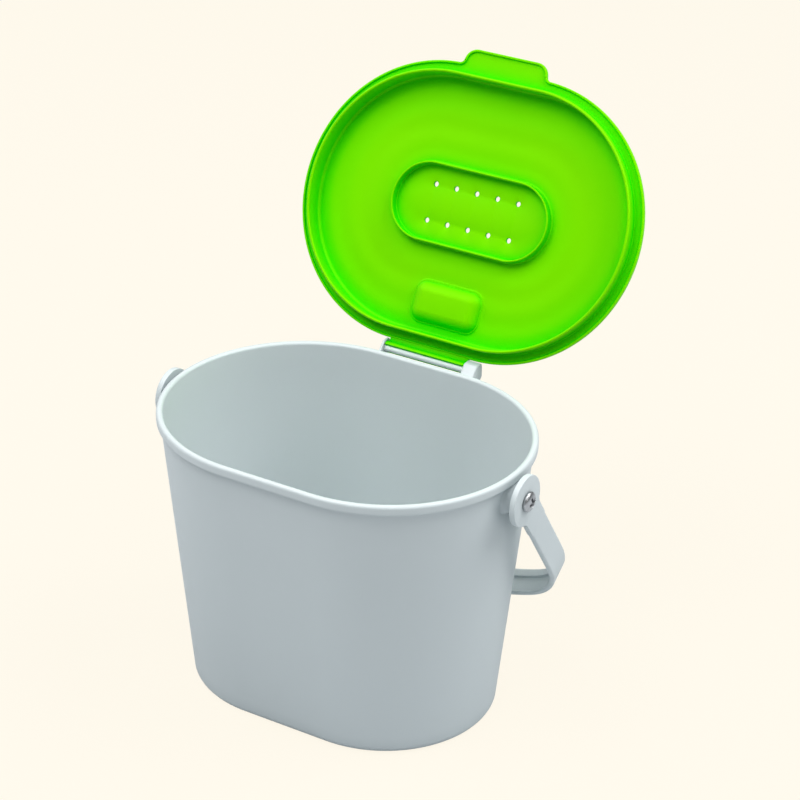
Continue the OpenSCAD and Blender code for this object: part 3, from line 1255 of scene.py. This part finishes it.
@dataclass(frozen=True)
class Studio:
    """Cream floor and surround with soft daylight."""

    cream: Colour = (1.0, 0.947, 0.831)
    sky: Colour = (0.93, 0.98, 1.0)
    sky_level: float = 0.2
    floor_size: float = 12.0
    floor_drop: float = 0.0004
    paint: Colour = (0.52, 0.54, 0.56)
    glow: float = 0.93
    glow_level: float = 1.024
    lamps: tuple[Lamp, ...] = (
        Lamp("right_high", (0.4945, 0.2906, 0.8192), 2.4, 1.5, 50.0),
        Lamp("left_high", (-0.4945, -0.2906, 0.8192), 2.4, 1.5, 22.0),
        Lamp("front_high", (-0.1062, -0.4090, 0.9063), 2.4, 1.5, 34.0),
        Lamp("back_low", (-0.8772, 0.2278, 0.4226), 2.4, 1.5, 7.0),
        Lamp("right_low", (0.7929, -0.2059, 0.5736), 2.4, 1.5, 7.0),
    )

    def mix(self, tree: bpy.types.NodeTree, output: str, share: Socket,
            pair: tuple[bpy.types.Node, bpy.types.Node]) -> None:
        """Mixes two shaders by the second one's share and sends them to a new output node.

        Args:
            tree: The node tree.
            output: Kind of the output node.
            share: Share of the second shader.
            pair: The two shaders.
        """
        mix = fill(tree.nodes.new("ShaderNodeMixShader"), Fac=share)
        for number, shader in enumerate(pair, 1):
            tree.links.new(shader.outputs[0], mix.inputs[number])
        fill(tree.nodes.new(output), Surface=mix.outputs[0])

    def backdrop_light(self) -> None:
        """Lights the scene from all round, and shows plain cream to the camera."""
        world = bpy.data.worlds.new("surround")
        bpy.context.scene.world = world
        world.use_nodes = True
        tree = world.node_tree
        tree.nodes.clear()
        path = tree.nodes.new("ShaderNodeLightPath")
        sky = fill(tree.nodes.new("ShaderNodeBackground"), Color=(*self.sky, 1.0), Strength=self.sky_level)
        plain = fill(tree.nodes.new("ShaderNodeBackground"), Color=(*self.cream, 1.0), Strength=1.0)
        seen = tree.nodes.new("ShaderNodeMath")
        seen.operation = "MAXIMUM"
        tree.links.new(path.outputs["Is Camera Ray"], seen.inputs[0])
        tree.links.new(path.outputs["Is Transmission Ray"], seen.inputs[1])
        self.mix(tree, "ShaderNodeOutputWorld", seen.outputs[0], (sky, plain))

    def floor(self) -> None:
        """Lays the floor: mostly a cream glow to the camera, with a faint share of lit paint for the shadow."""
        bm = bmesh.new()
        bmesh.ops.create_grid(bm, x_segments=1, y_segments=1, size=self.floor_size / 2)
        bmesh.ops.translate(bm, vec=(0, 0, -self.floor_drop), verts=bm.verts)
        material = bpy.data.materials.new("cream_floor")
        material.use_nodes = True
        tree = material.node_tree
        tree.nodes.clear()
        path = tree.nodes.new("ShaderNodeLightPath")
        paint = fill(tree.nodes.new("ShaderNodeBsdfDiffuse"), Color=(*self.paint, 1.0))
        glow = fill(tree.nodes.new("ShaderNodeEmission"), Color=(*self.cream, 1.0), Strength=self.glow_level)
        share = tree.nodes.new("ShaderNodeMath")
        share.operation = "MULTIPLY"
        share.inputs[1].default_value = self.glow
        tree.links.new(path.outputs["Is Camera Ray"], share.inputs[0])
        self.mix(tree, "ShaderNodeOutputMaterial", share.outputs[0], (paint, glow))
        floor = show("floor", bm)
        floor.data.materials.append(material)

    def build(self) -> None:
        """Sets up the surround, the floor and the lamps."""
        bpy.context.scene.view_settings.view_transform = "Standard"
        self.backdrop_light()
        self.floor()
        for lamp in self.lamps:
            lamp.build()


# Grey plastic; its third colour is painted shade, darker, for hollows and near walls.
GREY = MouldedPlastic("grey_plastic", (0.565, 0.62, 0.63), (0.55, 0.605, 0.617), (0.46, 0.515, 0.53))
# Painted light: the pin, of the bucket's plastic, is drawn paler than the bucket to brighten it under the lid's
# shade; its third colour is painted shade for hollows.
PIN_PAINTED_LIGHT_GREY = MouldedPlastic("pin_painted_light_plastic", (0.84, 0.93, 0.92), (0.82, 0.91, 0.9), (0.78, 0.88, 0.86))
# Lime plastic; its third colour is painted shade: red drops away and green dims a little in hollows and near
# walls.
LIME = MouldedPlastic("lime_plastic", (0.18, 0.69, 0.0), (0.163, 0.67, 0.0), (0.0, 0.64, 0.0),
                      roughness=0.45, specular_tint=(0.5, 1.0, 0.0), specular=0.3,
                      painted_shade_reach=0.03, painted_shade_full=0.5)
STEEL = PolishedSteel("screw_steel", (0.52, 0.53, 0.54), 0.26)


def main() -> None:
    """Builds the caddy and the studio, in order."""
    logging.basicConfig(level=logging.INFO, format="%(name)s: %(message)s")
    grey, lime, steel = GREY.make(), LIME.make(), STEEL.make()
    Bucket().build(grey)
    # The pin gets the paler, painted-light copy of the grey plastic.
    HingePin().build(PIN_PAINTED_LIGHT_GREY.make())
    Lid().build(lime)
    Bail().build(grey)
    for side in (1, -1):
        PivotScrew(side).build(steel)
    View().build()
    Studio().build()


if __name__ == "__main__":
    main()
